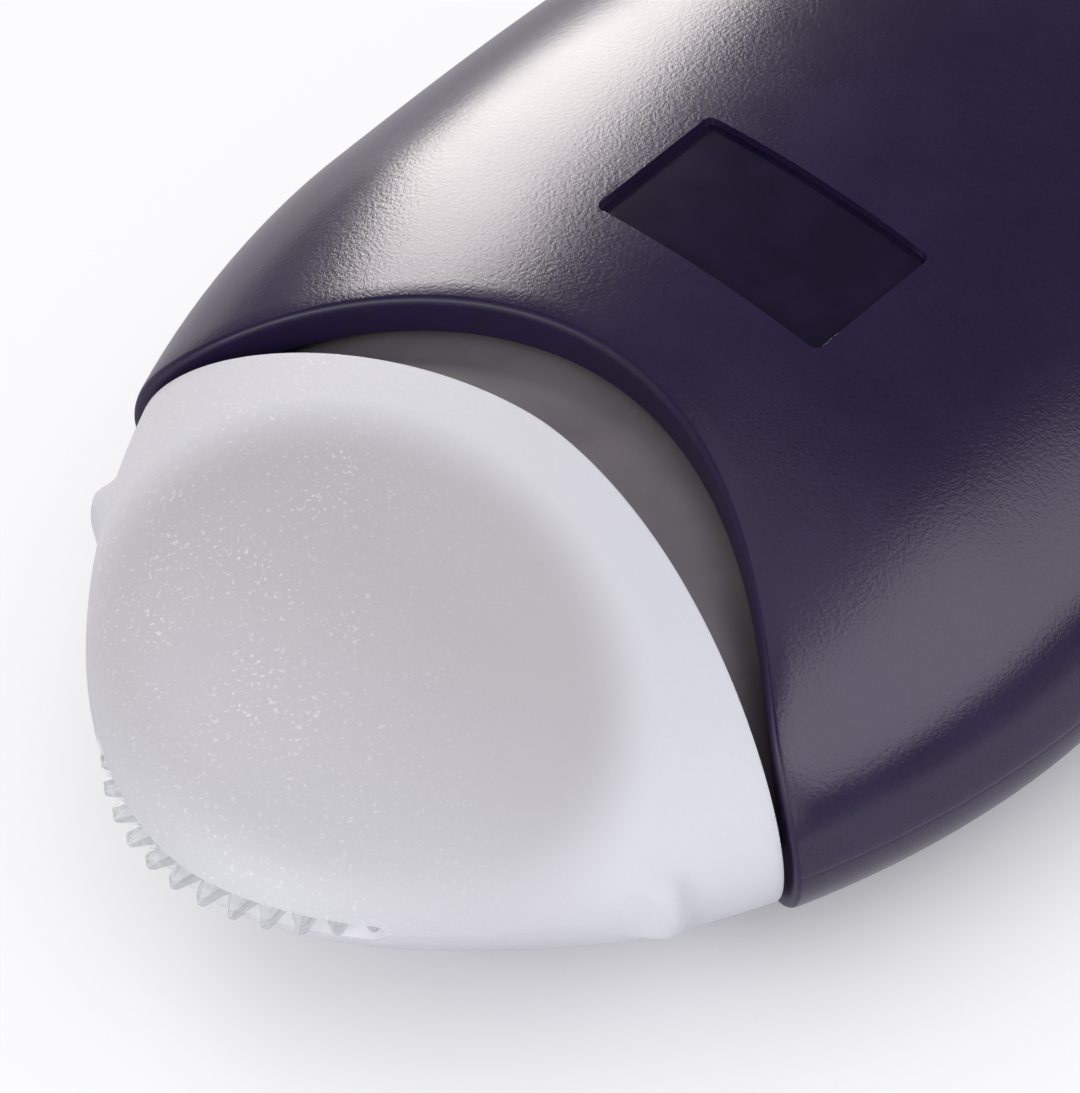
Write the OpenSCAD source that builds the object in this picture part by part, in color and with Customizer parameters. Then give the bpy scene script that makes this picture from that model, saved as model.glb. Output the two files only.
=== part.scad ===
// Chalk-wheel marker in the shape of a palm-sized egg.
// Two hollow shells hold a push-in chalk cartridge, whose nose carries a toothed marking wheel.
// Lengths are in millimetres. Stations are measured back along +Y from the point where the egg's
// outline would close, and heights from the parting plane, which is also the plane of the wheel.

/* [Body] */
// Distance from the nose tip back to the widest station
nose_l = 34; // [31:0.1:38]
// Distance from the widest station back to the tail
tail_l = 44; // [40:0.5:50]
// Half of the greatest width
half_w = 23.3; // [22.5:0.1:25]
// Half of the greatest thickness
half_t = 10.8; // [10.4:0.1:12]
// Height taken off the lower shell's dome by the flat that the marker lies on
sole_depth = 0.17; // [0.1:0.01:0.3]
// Fullness of the outlines in front of the widest station, where 2 is an ellipse
nose_fullness = 1.79; // [1.7:0.01:2]
// Fullness behind the widest station, seen from above
tail_fullness = 3; // [2:0.1:3.2]
// Fullness behind the widest station, seen from the side
back_fullness = 2.3; // [2:0.1:2.6]
// Wall of the two body shells
shell_wall = 2.2; // [1.6:0.1:2.4]

/* [Front opening] */
// Station of the rim at its crown
rim_crown = 29.1; // [28:0.1:30]
// How far forward of the crown the rim's arch has come at its reach
rim_sweep = 11.2; // [10:0.1:12]
// Distance from the centreline at which the sweep is measured
rim_reach = 19.3; // [18.5:0.1:20]

/* [Sunk panel] */
// Station of the panel's centre
panel_station = 39; // [38:0.1:43]
// Size of the panel across the body
panel_w = 13.1; // [8:0.1:16]
// Size of the panel along the body
panel_l = 7.5; // [5:0.1:10]
// Depth of the panel below the surface
panel_depth = 0.45; // [0.2:0.05:0.8]

/* [Cartridge] */
// How far the cartridge's tip lies behind the tip of the egg
nose_setback = 1.7; // [1.5:0.1:2]
// How far the cartridge's nose lies inside the surface of the egg
nose_inset = 0.35; // [0.2:0.05:0.6]
// Station of the finger rest's back edge on the centreline
rest_station = 24.8; // [22:0.1:25.5]
// How far forward the back edge has come at the rim's reach
rest_sweep = 6; // [5:0.1:6.5]
// Depth of the dished finger rest
dish_depth = 1.6; // [0.5:0.1:2.4]
// Half width of the neck at its front
neck_w = 17.4; // [16:0.1:17.5]
// Half thickness of the neck at its front
neck_t = 8.8; // [8:0.05:8.9]
// Station of the neck's rear end
neck_end = 54; // [48:0.5:55]
// Wall of the powder tank
tank_wall = 1.4; // [1:0.1:2]

/* [Wheel] */
// Radius over the tips of the teeth
wheel_r = 10.3; // [9.8:0.05:10.4]
// Station of the wheel's centre
wheel_station = 11.3; // [11:0.05:11.5]
// Number of teeth
teeth = 41; // [30:1:48]
// Height of a tooth
tooth_h = 1.15; // [0.8:0.05:1.4]
// Thickness of the wheel
wheel_t = 0.7; // [0.6:0.05:1]
// Diameter of the axle
axle_d = 2; // [1.5:0.1:2.5]

/* [Hidden] */
$fn = 48;

shell_colour = [0.22, 0.18, 0.31];
white_colour = [0.87, 0.87, 0.9];
wheel_colour = [0.8, 0.83, 0.86];
steel_colour = [0.7, 0.71, 0.73];
plug_colour = [0.75, 0.76, 0.8];
chalk_colour = [0.95, 0.94, 0.91];

length = nose_l + tail_l;            // of the whole egg
first_tooth = wheel_station - wheel_r;   // station that the teeth reach forward to
belly = half_t - sole_depth;         // from the parting to the flat below
arc_cells = 27;                      // cells of a half section, odd so that one lies level at the crown
shell_rows = 15;                     // rows of cells from the rim to the tail
nose_rows = 12;                      // rows of cells from the tip to the back edge of the rest
side_gap = 0.3;                      // between the finger rest's back edge and the rim at the sides
rim_blend = 0.6;                     // how softly the rim's arch runs into its sides
rest_bend = 1.74;                    // fullness of the back edge's curve, where 2 is a parabola
shoulder_draft = 0.2;                // lean of the wall between the finger rest and the neck
neck_draft_w = 0.03;                 // taper of the neck's half width, in mm per mm
neck_draft_t = 0.05;                 // taper of the neck's half thickness, in mm per mm
neck_front = 17;                     // station where the neck's size is given
dish_station = 12.3;                 // centre of the dish
dish_w = 15.2;                       // half width of the dish
dish_l = 10.1;                       // half length of the dish
dish_wall = 1.3;                     // steepness at the dish's edge, where 1 is steepest and 2 is faint
ridge_station = 13.9;                // grip ridges on the two sides of the nose
ridge_r = 1;
ridge_proud = 0.75;
ridge_half_h = 2.2;
wheel_slot = 0.9;                    // height of the slot that the wheel shows through
wheel_play = 0.45;                   // around the teeth
hub_r = 3;
hub_t = 2.6;
hub_play = 0.15;
axle_play = 0.05;                    // running fit of the wheel on its axle
axle_seat_play = 0.01;
axle_l = 7.2;
filler_r = 2.6;                      // round filling hole, half of it in each cartridge half
plug_play = 0.05;
plug_head_r = 3.7;
plug_head_t = 1.6;
plug_tail_l = 2.6;                   // the plug's length inside the hole
former_t = 1.2;                      // cross walls that the neck slides through
former_play = 0.12;
former_stations = [31, 41, 50];
stop_station = 54.4;                 // cross wall that the cartridge ends against
stop_w = 9;                          // half width of the window in the stop wall
stop_t = 5.2;                        // half thickness of that window
boss_station = 64;                   // bosses that locate the two shells on each other
boss_x = 8;
boss_r = 2.5;
boss_h = 6.8;
peg_r = 1.25;
peg_h = 2.5;
peg_play = 0.05;

// Outline of the egg: 1 at the widest station, 0 at the tip and the tail, both of which can be set back
function swell(s, set, rear_fullness) =
    let (
        ahead = s < nose_l,
        u = ahead ? (nose_l - s) / (nose_l - set) : (s - nose_l) / (tail_l - set),
        fullness = ahead ? nose_fullness : rear_fullness
    )
    u >= 1 ? 0 : pow(1 - pow(u, fullness), 1 / fullness);
function egg_w(s, inset, set) = (half_w - inset) * swell(s, set, tail_fullness);
function egg_t(s, inset, set) = (half_t - inset) * swell(s, set, back_fullness);
function egg_point(s, a, inset, set) = [egg_w(s, inset, set) * cos(a), s, egg_t(s, inset, set) * sin(a)];

// Stations of the finger rest's back edge and of the rim, seen from above, x from the centreline.
// The rim is an arch that runs into a line just behind the finger rest.
function rest_line(x) = rest_station - rest_sweep * pow(abs(x) / rim_reach, rest_bend);
function rim_line(x) =
    let (arch = rim_crown - rim_sweep * pow(x / rim_reach, 2), side = rest_line(x) + side_gap)
    (arch + side + norm([arch - side, rim_blend])) / 2;

// The same lines at angle a of a section, found by stepping towards the point where line and skin meet
function rim_at(a, inset, s = 20, steps = 40) =
    steps == 0 ? s
    : rim_at(a, inset, (s + rim_line(egg_w(s, inset, inset) * cos(a))) / 2, steps - 1);
function rest_at(a, s = 20, steps = 40) =
    steps == 0 ? s
    : rest_at(a, (s + rest_line(egg_w(s, nose_inset, nose_setback) * cos(a))) / 2, steps - 1);

function arc_angle(j) = 180 * j / arc_cells;
function eased(k, rows) = sin(90 * k / rows);
function dish(x, s) =
    let (r2 = pow(x / dish_w, 2) + pow((s - dish_station) / dish_l, 2))
    r2 >= 1 ? 0 : dish_depth * pow(1 - r2, dish_wall);
function levelled(p, top) = [p.x, p.y, min(p.z, top)];
function dished(p) = [p.x, p.y, max(p.z - dish(p.x, p.y), 0)];
function neck_half_w(s) = neck_w - neck_draft_w * (s - neck_front);
function neck_half_t(s) = neck_t - neck_draft_t * (s - neck_front);

// Two triangles for the cell between two rings, or one where a ring is a single point
function cell(a, b, c, d) = [if (a != b) [a, b, c], if (c != d) [a, c, d]];

// Skin over rings of points that run from front to back, each a closed loop or a single point.
// A flat loop at either end is closed by a fan.
module loft(rings) {
    starts = [for (k = 0, n = 0; k < len(rings); n = n + len(rings[k]), k = k + 1) n];
    size = max([for (r = rings) len(r)]);
    last = len(rings) - 1;
    function at(k, j) = starts[k] + (len(rings[k]) == 1 ? 0 : j % size);
    sides = [
        for (k = [0 : last - 1], j = [0 : size - 1])
            each cell(at(k, j), at(k, j + 1), at(k + 1, j + 1), at(k + 1, j))
    ];
    front = len(rings[0]) == 1 ? [] : [for (j = [1 : size - 2]) [at(0, 0), at(0, j + 1), at(0, j)]];
    back = len(rings[last]) == 1 ? [] : [for (j = [1 : size - 2]) [at(last, 0), at(last, j), at(last, j + 1)]];
    polyhedron(points = [for (r = rings) each r], faces = concat(sides, front, back));
}

// Half section of an ellipse, from +X over the top to -X
function half_section(s, w, t) = [for (j = [0 : arc_cells]) let (a = arc_angle(j)) [w * cos(a), s, t * sin(a)]];

// One body shell: an outer and an inner skin from the rim to the tail, joined at the rim and the parting.
// Both are levelled off at the crown given.
module shell_skin(crown) {
    cols = arc_cells + 1;
    pole = shell_rows * cols;
    function row(inset, k) = [
        for (j = [0 : arc_cells])
            let (a = arc_angle(j), start = rim_at(a, inset))
            levelled(
                egg_point(start + (length - inset - start) * eased(k, shell_rows), a, inset, inset),
                crown - inset
            )
    ];
    function skin(inset) = concat(
        [for (k = [0 : shell_rows - 1]) each row(inset, k)],
        [[0, length - inset, 0]]
    );
    function outer(k, j) = k == shell_rows ? pole : k * cols + j;
    function inner(k, j) = outer(k, j) + pole + 1;
    faces = [
        for (k = [0 : shell_rows - 1]) each [
            for (j = [0 : arc_cells - 1]) each concat(
                cell(outer(k, j), outer(k, j + 1), outer(k + 1, j + 1), outer(k + 1, j)),
                cell(inner(k, j + 1), inner(k, j), inner(k + 1, j), inner(k + 1, j + 1))
            ),
            each cell(outer(k, 0), outer(k + 1, 0), inner(k + 1, 0), inner(k, 0)),
            each cell(inner(k, arc_cells), inner(k + 1, arc_cells), outer(k + 1, arc_cells), outer(k, arc_cells))
        ]
    ];
    rim = [
        for (j = [0 : arc_cells - 1])
            each cell(outer(0, j + 1), outer(0, j), inner(0, j), inner(0, j + 1))
    ];
    polyhedron(points = concat(skin(0), skin(shell_wall)), faces = concat(faces, rim));
}

// Cross wall of a shell, its foot sunk in the shell, with a window in the section given
module cross_wall(s, w, t) {
    foot = shell_wall / 2;
    foot_w = min(egg_w(s, foot, foot), egg_w(s + former_t, foot, foot));
    foot_t = min(egg_t(s, foot, foot), egg_t(s + former_t, foot, foot));
    translate([0, s + former_t, 0]) rotate([90, 0, 0]) linear_extrude(former_t) polygon(concat(
        [for (j = [0 : arc_cells]) [foot_w * cos(arc_angle(j)), foot_t * sin(arc_angle(j))]],
        [for (j = [arc_cells : -1 : 0]) [w * cos(arc_angle(j)), t * sin(arc_angle(j))]]
    ));
}

// Everything that both shells have, with the parting plane below
module shell_half(crown) {
    shell_skin(crown);
    for (s = former_stations)
        cross_wall(s, neck_half_w(s) + former_play, neck_half_t(s) + former_play);
    cross_wall(stop_station, stop_w, stop_t);
    for (side = [-1, 1])
        translate([side * boss_x, boss_station, 0]) cylinder(r = boss_r, h = boss_h);
}

// The sunk panel: a patch of the egg's skin, set inwards, with everything above it
module panel_cutter(cells = 8) {
    loft([
        for (k = [0 : cells])
            let (s = panel_station + panel_l * (k / cells - 0.5))
            concat(
                [[panel_w / 2, s, half_t + 1], [-panel_w / 2, s, half_t + 1]],
                [
                    for (j = [0 : cells])
                        let (x = panel_w * (j / cells - 0.5))
                        [x, s, egg_t(s, panel_depth, 0) * sqrt(1 - pow(x / egg_w(s, panel_depth, 0), 2))]
                ]
            )
    ]);
}

module body_shell_upper() {
    color(shell_colour) {
        difference() {
            shell_half(half_t);
            panel_cutter();
        }
        for (side = [-1, 1])
            translate([side * boss_x, boss_station, -peg_h]) cylinder(r = peg_r, h = peg_h + 1);
    }
}

module body_shell_lower() {
    color(shell_colour) mirror([0, 0, 1]) difference() {
        shell_half(belly);
        for (side = [-1, 1])
            translate([side * boss_x, boss_station, -1])
                cylinder(r = peg_r + peg_play, h = peg_h + 1 + peg_play);
    }
}

// Solid outside of a cartridge half: dished nose, shoulder and tapered neck
module cartridge_outside() {
    function nose_ring(k) = [
        for (j = [0 : arc_cells])
            let (
                a = arc_angle(j),
                s = nose_setback + (rest_at(a) - nose_setback) * (1 - cos(90 * k / nose_rows))
            )
            dished(egg_point(s, a, nose_inset, nose_setback))
    ];
    function neck_ring(f) = [
        for (j = [0 : arc_cells])
            let (a = arc_angle(j), front = rest_at(a) + shoulder_draft, s = front + (neck_end - front) * f)
            [neck_half_w(s) * cos(a), s, neck_half_t(s) * sin(a)]
    ];
    loft(concat(
        [[[0, nose_setback, 0]]],
        [for (k = [1 : nose_rows]) nose_ring(k)],
        [for (f = [0, 0.5, 1]) neck_ring(f)]
    ));
}

// Room for the powder, which runs from the neck's end wall to behind the wheel
module tank_room() {
    mid = rest_station;
    end = neck_end - tank_wall;
    loft([
        half_section(wheel_station + hub_r + 0.8, 9, 3),
        half_section(mid, neck_half_w(mid) - tank_wall, neck_half_t(mid) - tank_wall),
        half_section(end, neck_half_w(end) - tank_wall, neck_half_t(end) - tank_wall)
    ]);
}

module grip_ridge() {
    x = egg_w(ridge_station, nose_inset, nose_setback) + ridge_proud - ridge_r;
    top = ridge_half_h - ridge_r;
    translate([x, ridge_station, 0]) {
        cylinder(r = ridge_r, h = top);
        translate([0, 0, top]) sphere(r = ridge_r);
    }
}

module cartridge_half() {
    difference() {
        union() {
            cartridge_outside();
            intersection() {
                for (side = [0, 1]) mirror([side, 0, 0]) grip_ridge();
                translate([-half_w, 0, 0]) cube([2 * half_w, length, half_t]);
            }
        }
        tank_room();
        translate([0, wheel_station, -1]) {
            cylinder(r = wheel_r + wheel_play, h = 1 + wheel_slot / 2, $fn = 96);
            cylinder(r = hub_r + 0.4, h = 1 + hub_t / 2 + hub_play);
            cylinder(r = axle_d / 2 + axle_seat_play, h = 1 + axle_l / 2 + 0.1);
        }
        translate([0, neck_end + 1, 0]) rotate([90, 0, 0]) cylinder(r = filler_r, h = tank_wall + 2);
    }
}

module cartridge_upper() { color(white_colour) cartridge_half(); }
module cartridge_lower() { color(white_colour) mirror([0, 0, 1]) cartridge_half(); }

// Outline of the toothed wheel: a straight-sided tooth with a round tip, and a round valley between two
module tooth_outline() {
    pitch = 360 / teeth;
    root = wheel_r - tooth_h;
    tooth = [
        [-0.5, root], [-0.38, root + 0.06], [-0.17, wheel_r - 0.22], [-0.07, wheel_r],
        [0.07, wheel_r], [0.17, wheel_r - 0.22], [0.38, root + 0.06]
    ];
    polygon([
        for (i = [0 : teeth - 1]) each [
            for (p = tooth) let (a = (i + p[0]) * pitch) p[1] * [sin(a), -cos(a)]
        ]
    ]);
}

module chalk_wheel() {
    color(wheel_colour) translate([0, wheel_station, 0]) difference() {
        union() {
            translate([0, 0, -wheel_t / 2]) linear_extrude(wheel_t) tooth_outline();
            cylinder(r = hub_r, h = hub_t, center = true);
        }
        cylinder(r = axle_d / 2 + axle_play, h = hub_t + 2, center = true);
    }
}

module wheel_axle() {
    color(steel_colour) translate([0, wheel_station, 0]) cylinder(d = axle_d, h = axle_l, center = true);
}

module filler_plug() {
    color(plug_colour) translate([0, neck_end, 0]) rotate([-90, 0, 0]) {
        translate([0, 0, -plug_tail_l]) cylinder(r = filler_r - plug_play, h = plug_tail_l + 0.5);
        cylinder(r = plug_head_r, h = plug_head_t);
    }
}

// Loose powder in the tank, behind the wheel, as one closed solid
module chalk_fill() {
    gap = 0.2;
    mid = rest_station;
    front = wheel_station + wheel_r + 1;
    end = neck_end - max(tank_wall, plug_tail_l) - 0.3;
    function ring(s) = [
        for (j = [0 : 2 * arc_cells - 1])
            let (a = 180 * j / arc_cells)
            [(neck_half_w(s) - tank_wall - gap) * cos(a), s, (neck_half_t(s) - tank_wall - gap) * sin(a)]
    ];
    function front_ring(s) = [
        for (p = ring(s)) [p.x * 0.85, p.y, p.z * 0.75]
    ];
    color(chalk_colour) loft([front_ring(front), ring(mid), ring(end)]);
}

// From stations and heights to the row frame: middle of the length at Y = 0, lowest point at Z = 0
module placed() { translate([0, -(first_tooth + length) / 2, belly]) children(); }

placed() body_shell_upper();
placed() body_shell_lower();
placed() cartridge_upper();
placed() cartridge_lower();
placed() chalk_wheel();
placed() wheel_axle();
placed() filler_plug();
placed() chalk_fill();
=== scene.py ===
import math

import bmesh
import bpy
from mathutils import Matrix, Quaternion, Vector


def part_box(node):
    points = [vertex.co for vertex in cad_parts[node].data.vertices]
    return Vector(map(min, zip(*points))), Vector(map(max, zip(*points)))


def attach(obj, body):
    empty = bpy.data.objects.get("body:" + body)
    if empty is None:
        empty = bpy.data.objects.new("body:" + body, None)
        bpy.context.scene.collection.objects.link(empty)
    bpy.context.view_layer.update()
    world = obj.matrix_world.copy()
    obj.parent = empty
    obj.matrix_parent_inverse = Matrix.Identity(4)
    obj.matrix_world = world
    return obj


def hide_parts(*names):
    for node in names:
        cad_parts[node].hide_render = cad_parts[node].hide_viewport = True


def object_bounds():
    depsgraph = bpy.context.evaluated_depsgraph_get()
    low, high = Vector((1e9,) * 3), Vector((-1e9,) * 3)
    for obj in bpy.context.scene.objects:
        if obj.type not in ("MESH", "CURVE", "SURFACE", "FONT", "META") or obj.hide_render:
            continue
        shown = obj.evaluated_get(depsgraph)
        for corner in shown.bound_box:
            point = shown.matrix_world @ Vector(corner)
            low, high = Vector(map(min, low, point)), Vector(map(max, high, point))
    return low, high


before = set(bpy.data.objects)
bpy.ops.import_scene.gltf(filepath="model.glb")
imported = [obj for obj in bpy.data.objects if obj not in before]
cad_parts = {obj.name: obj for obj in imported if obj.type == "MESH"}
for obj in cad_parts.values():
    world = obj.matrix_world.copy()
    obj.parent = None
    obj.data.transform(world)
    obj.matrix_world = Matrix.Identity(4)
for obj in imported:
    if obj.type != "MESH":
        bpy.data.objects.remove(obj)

# Chalk-wheel marker: a violet egg of two shells, and a milky chalk cartridge pushed into its mouth.
# Shapes are worked out in millimetres. A station is the distance back from the tip of the egg, a
# width is counted from the middle, and a height from the parting plane, where the two halves meet.

mm = 0.001
cadBox = [list(corner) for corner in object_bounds()]

egg = {
    "nose": 34.0,          # tip to the widest station
    "tail": 44.0,          # widest station to the tail
    "halfWidth": 23.3,
    "halfThickness": 10.8,
    "noseFullness": 1.79,  # 2 would be an ellipse
    "tailFullness": 3.0,   # seen from above
    "backFullness": 2.3,   # seen from the side
    "rimCrown": 29.1,      # station of the opening's rim on the centreline
    "rimSweep": 11.2,      # how much further forward the rim's arch is at its reach
    "rimReach": 19.3,      # width at which the sweeps are given
    "restStation": 24.8,   # the finger rest's back edge, in the same way
    "restSweep": 6.0,
    "restBend": 1.74,      # 2 would be the arch of the rim
    "sideGap": 0.3,        # between rest and rim at the sides
    "rimBlend": 0.6,       # how softly the rim's arch runs into its sides
    "soleBlend": 0.05,     # how softly the dome runs into the flat below
}
dish = {                   # the finger rest's hollow, in each broad side of the nose
    "station": 12.3, "depth": 1.6,
    "width": 15.2, "length": 10.1,   # both from its middle
    "wall": 1.3,           # 1 would have the steepest edge, 2 a faint one
}
eggLength = egg["nose"] + egg["tail"]
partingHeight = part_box("cartridge_upper")[0].z / mm
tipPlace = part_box("body_shell_upper")[1].y / mm - eggLength


# The egg's own surface, which the shells and the cartridge's nose share

def swell(station, setBack, rearFullness):
    # 1 at the widest station, 0 at the tip and at the tail
    if station < egg["nose"]:
        share, fullness = (egg["nose"] - station) / (egg["nose"] - setBack), egg["noseFullness"]
    else:
        share, fullness = (station - egg["nose"]) / (egg["tail"] - setBack), rearFullness
    return max(0.0, 1 - min(share, 1.0) ** fullness) ** (1 / fullness)


def eggWidth(station, inset, setBack):
    return (egg["halfWidth"] - inset) * swell(station, setBack, egg["tailFullness"])


def eggHeight(station, inset, setBack):
    return (egg["halfThickness"] - inset) * swell(station, setBack, egg["backFullness"])


def eggPoint(station, angle, inset, setBack):
    return Vector((
        eggWidth(station, inset, setBack) * math.cos(angle),
        station,
        eggHeight(station, inset, setBack) * math.sin(angle),
    ))


def restLine(x):
    return egg["restStation"] - egg["restSweep"] * (abs(x) / egg["rimReach"]) ** egg["restBend"]


def rimLine(x):
    # an arch that runs into a line just behind the finger rest
    arch = egg["rimCrown"] - egg["rimSweep"] * (x / egg["rimReach"]) ** 2
    side = restLine(x) + egg["sideGap"]
    return (arch + side + math.hypot(arch - side, egg["rimBlend"])) / 2


def meet(line, inset, setBack, angle):
    # station where a line drawn over the top meets the skin at this angle of the section, found by
    # halving what is left
    station = 20.0
    for _ in range(40):
        station = (station + line(eggWidth(station, inset, setBack) * math.cos(angle))) / 2
    return station


# Helpers for every mesh

def mappedGrid(bm, columns, rows, place):
    # a grid whose vertices are moved on to a surface, with place(column, row) in whole steps
    made = bmesh.ops.create_grid(bm, x_segments=columns, y_segments=rows, size=0.5)["verts"]
    for v in made:
        v.co = place(round((v.co.x + 0.5) * columns), round((v.co.y + 0.5) * rows))
    bmesh.ops.remove_doubles(bm, verts=made, dist=0.0005)


def softenEdges(bm, edges, radius, segments=2, material=-1):
    bmesh.ops.bevel(
        bm, geom=list(edges), offset=radius, offset_type="OFFSET", segments=segments,
        profile=0.5, affect="EDGES", material=material, clamp_overlap=True,
    )


def finishPiece(name, bm, body, nodes, materials, sharpAngle=32, turnOver=False):
    # from stations and heights to the row frame, in metres
    if turnOver:
        bmesh.ops.scale(bm, vec=(1, 1, -1), verts=bm.verts)
        bmesh.ops.reverse_faces(bm, faces=bm.faces)
    bmesh.ops.translate(bm, vec=(0, tipPlace, partingHeight), verts=bm.verts)
    bmesh.ops.scale(bm, vec=(mm, mm, mm), verts=bm.verts)
    limit = math.radians(sharpAngle)
    for face in bm.faces:
        face.smooth = True
    for edge in bm.edges:
        edge.smooth = len(edge.link_faces) == 2 and edge.calc_face_angle(0) < limit
    mesh = bpy.data.meshes.new(name)
    bm.to_mesh(mesh)
    bm.free()
    for material in materials:
        mesh.materials.append(material)
    piece = bpy.data.objects.new(name, mesh)
    bpy.context.scene.collection.objects.link(piece)
    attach(piece, body)
    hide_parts(*nodes)
    print("piece", name, len(mesh.polygons), "faces")


def turned(profile, steps=64):
    # a closed outline of (radius, height) points spun about Z
    bm = bmesh.new()
    points = [bm.verts.new((radius, 0, height)) for radius, height in profile]
    edges = [bm.edges.new((points[i], points[i + 1])) for i in range(len(points) - 1)]
    bmesh.ops.spin(
        bm, geom=points + edges, cent=(0, 0, 0), axis=(0, 0, 1), angle=math.tau, steps=steps,
        use_merge=True,
    )
    bmesh.ops.remove_doubles(bm, verts=bm.verts, dist=0.0005)
    bmesh.ops.recalc_face_normals(bm, faces=bm.faces)
    return bm


def absorb(bm, other):
    # take another bmesh's faces into this one
    mesh = bpy.data.meshes.new("absorbed")
    other.to_mesh(mesh)
    other.free()
    bm.from_mesh(mesh)
    bpy.data.meshes.remove(mesh)


class Value:
    # a socket of one node tree, with arithmetic

    def __init__(self, shader, socket):
        self.shader = shader
        self.socket = socket

    def math(self, operation, *others):
        sockets = dict(enumerate((self, *others)))
        return self.shader.node("ShaderNodeMath", {"operation": operation}, sockets)

    def __add__(self, other):
        return self.math("ADD", other)

    def __radd__(self, other):
        return self.math("ADD", other)

    def __sub__(self, other):
        return self.math("SUBTRACT", other)

    def __rsub__(self, other):
        return self.math("MULTIPLY", -1.0).math("ADD", other)

    def __mul__(self, other):
        return self.math("MULTIPLY", other)

    def __rmul__(self, other):
        return self.math("MULTIPLY", other)

    def smooth(self, low, high):
        # 0 below low, 1 above high, eased between
        return self.shader.node(
            "ShaderNodeMapRange", {"interpolation_type": "SMOOTHSTEP"},
            {"Value": self, "From Min": low, "From Max": high},
        )


class Shader:
    # the node tree of a material or of the world

    def __init__(self, owner, surfaceName="Principled BSDF"):
        owner.use_nodes = True
        self.owner = owner
        self.tree = owner.node_tree
        self.surface = self.tree.nodes[surfaceName]

    def feed(self, socket, value):
        if isinstance(value, Value):
            self.tree.links.new(value.socket, socket)
        else:
            socket.default_value = value

    def node(self, kind, settings, sockets, result=0):
        made = self.tree.nodes.new(kind)
        for key, value in settings.items():
            setattr(made, key, value)
        for key, value in sockets.items():
            self.feed(made.inputs[key], value)
        return Value(self, made.outputs[result])

    def place(self, kind="Object"):
        return self.node("ShaderNodeTexCoord", {}, {}, kind)

    def axes(self, kind="Object"):
        first = self.node("ShaderNodeSeparateXYZ", {}, {"Vector": self.place(kind)})
        return [Value(self, out) for out in first.socket.node.outputs]

    def rays(self, kind):
        # 1 for rays of this kind, such as Camera
        return self.node("ShaderNodeLightPath", {}, {}, f"Is {kind} Ray")

    def noise(self, size, detail=2.0, roughness=0.5, distortion=0.0):
        # size is the pattern's width in millimetres
        return self.node(
            "ShaderNodeTexNoise", {"noise_dimensions": "3D"},
            {"Vector": self.place(), "Scale": 1 / (size * mm), "Detail": detail,
             "Roughness": roughness, "Distortion": distortion},
        )

    def blend(self, factor, first, second):
        # two colours, as lists or values
        return self.node("ShaderNodeMix", {"data_type": "RGBA"}, {0: factor, 6: first, 7: second}, 2)

    def bump(self, height, depth, strength=1.0):
        # depth is in millimetres
        sockets = {"Height": height, "Distance": depth * mm, "Strength": strength}
        return self.node("ShaderNodeBump", {}, sockets, "Normal")

    def set(self, **sockets):
        for key, value in sockets.items():
            self.feed(self.surface.inputs[key.replace("_", " ")], value)
        return self.owner


def newShader(name):
    return Shader(bpy.data.materials.new(name))


def colour(red, green, blue):
    # a colour as it is seen, 0 to 255, to linear light
    def linear(part):
        part /= 255
        return part / 12.92 if part <= 0.04045 else ((part + 0.055) / 1.055) ** 2.4
    return (linear(red), linear(green), linear(blue), 1.0)


violetFinish = {
    "base": colour(43, 29, 67),
    "deep": colour(33, 21, 55),
    "clouds": 6.0,         # width in mm of the faint clouds
    "mix": (0.3, 0.7),     # narrows the change between the tones
    "roughness": 0.22,
    "roughnessSpread": 0.08,
    "grain": 0.2,          # width in mm of the grain
    "grainEdge": (0.22, 0.78),
    "grainDepth": 0.007,
    "grainStrength": 0.9,
    "refraction": 1.62,
}


def violetPlastic():
    # the grained outside of the shells
    sh = newShader("violetPlastic")
    f = violetFinish
    grain = sh.noise(f["grain"], detail=2.0, roughness=0.55, distortion=0.2)
    fine = sh.noise(f["grain"] / 2)
    clouds = sh.noise(f["clouds"], detail=3.0, roughness=0.6)
    tone = (clouds * 0.6 + grain * 0.4).smooth(*f["mix"])
    height = grain.smooth(*f["grainEdge"]) * 0.6 + fine * 0.4
    return sh.set(
        Base_Color=sh.blend(tone, f["deep"], f["base"]),
        Roughness=f["roughness"] + (clouds - 0.5) * f["roughnessSpread"],
        Normal=sh.bump(height, f["grainDepth"], f["grainStrength"]),
        IOR=f["refraction"],
    )


milkyFinish = {
    "base": colour(236, 236, 242),
    "rest": colour(206, 203, 208),   # painted shade in the dish, darker towards its back
    "glintColour": colour(254, 254, 255),
    "clouds": 11.0,        # widths in mm of the clouds, the painted glints and their drifts
    "glints": 0.2,
    "drifts": 3.2,
    "glintEdge": (0.6, 0.72),   # parts of the noise that make a painted glint and a drift
    "driftEdge": (0.35, 0.7),
    "glintFade": (-5.0, 9.0),   # where the painted glints fade out, in mm from the dish to the back right
    "dishShadeEdge": (-0.06, 0.42),  # how the dish's painted shade begins at its edge
    "dishShadeGain": (-0.8, 0.5),    # and how it deepens towards the back
    "roughness": 0.52,
    "roughnessSpread": 0.06,
    "glintShine": 0.25,    # what a painted glint takes off the roughness
    "grain": 0.18,
    "grainEdge": (0.36, 0.64),
    "grainDepth": 0.01,
    "grainStrength": 0.9,
    "refraction": 1.42,
}


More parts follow.
